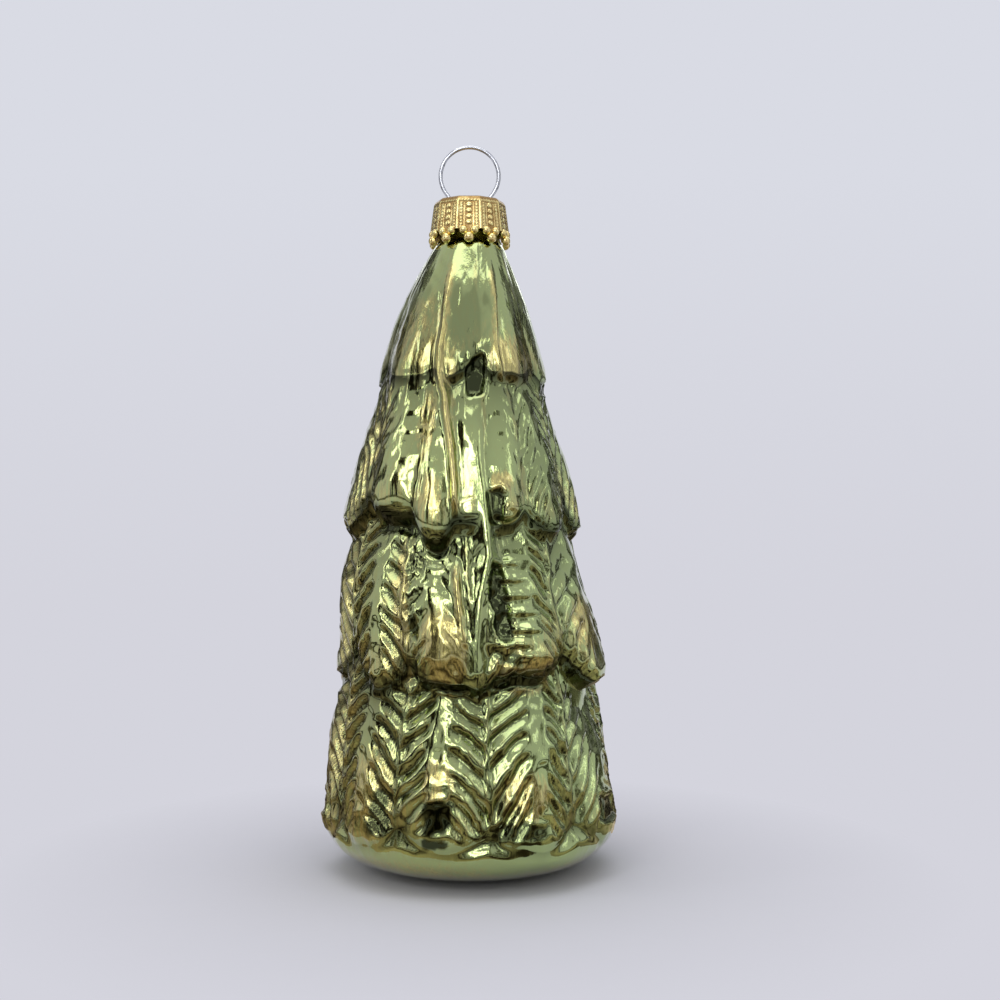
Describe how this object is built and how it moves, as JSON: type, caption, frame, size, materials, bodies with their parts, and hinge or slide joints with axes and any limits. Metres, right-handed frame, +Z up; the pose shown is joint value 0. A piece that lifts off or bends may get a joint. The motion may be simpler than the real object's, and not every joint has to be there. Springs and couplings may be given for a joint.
{
  "type": "glass tree ornament",
  "caption": "Hollow mould-blown glass fir tree, silvered and lacquered green, with a stamped crown cap and a sprung wire loop to hang it by.",
  "frame": {"origin": "top of the ring's eye, where a hook or branch bears", "axes": "+Z up along the neck, away from the glass; the ring lies in the XZ plane; the seam of the mould faces -Y"},
  "size_m": [0.04, 0.0399, 0.0971],
  "materials": {
    "steel_wire": "bright drawn spring wire",
    "stamped_gold": "stamped thin sheet, gold lacquered, worn bright on the beads",
    "silvered_glass": "silvered inside, clear green lacquer outside with brushed gold and brown on the ridges"
  },
  "bodies": {
    "wire_loop": {"wire_loop": "steel_wire"},
    "crown_cap": {"crown_cap": "stamped_gold"},
    "glass_tree": {"glass_tree": "silvered_glass"}
  },
  "joints": [
    {"name": "loop_rock", "type": "hinge", "parent": "wire_loop", "child": "crown_cap", "pos_m": [0, 0, -0.00711], "axis": [1, 0, 0], "range_deg": [-6, 6]},
    {"name": "pull_off", "type": "slide", "parent": "crown_cap", "child": "glass_tree", "axis": [0, 0, -1], "range_m": [0, 0.0095]}
  ]
}
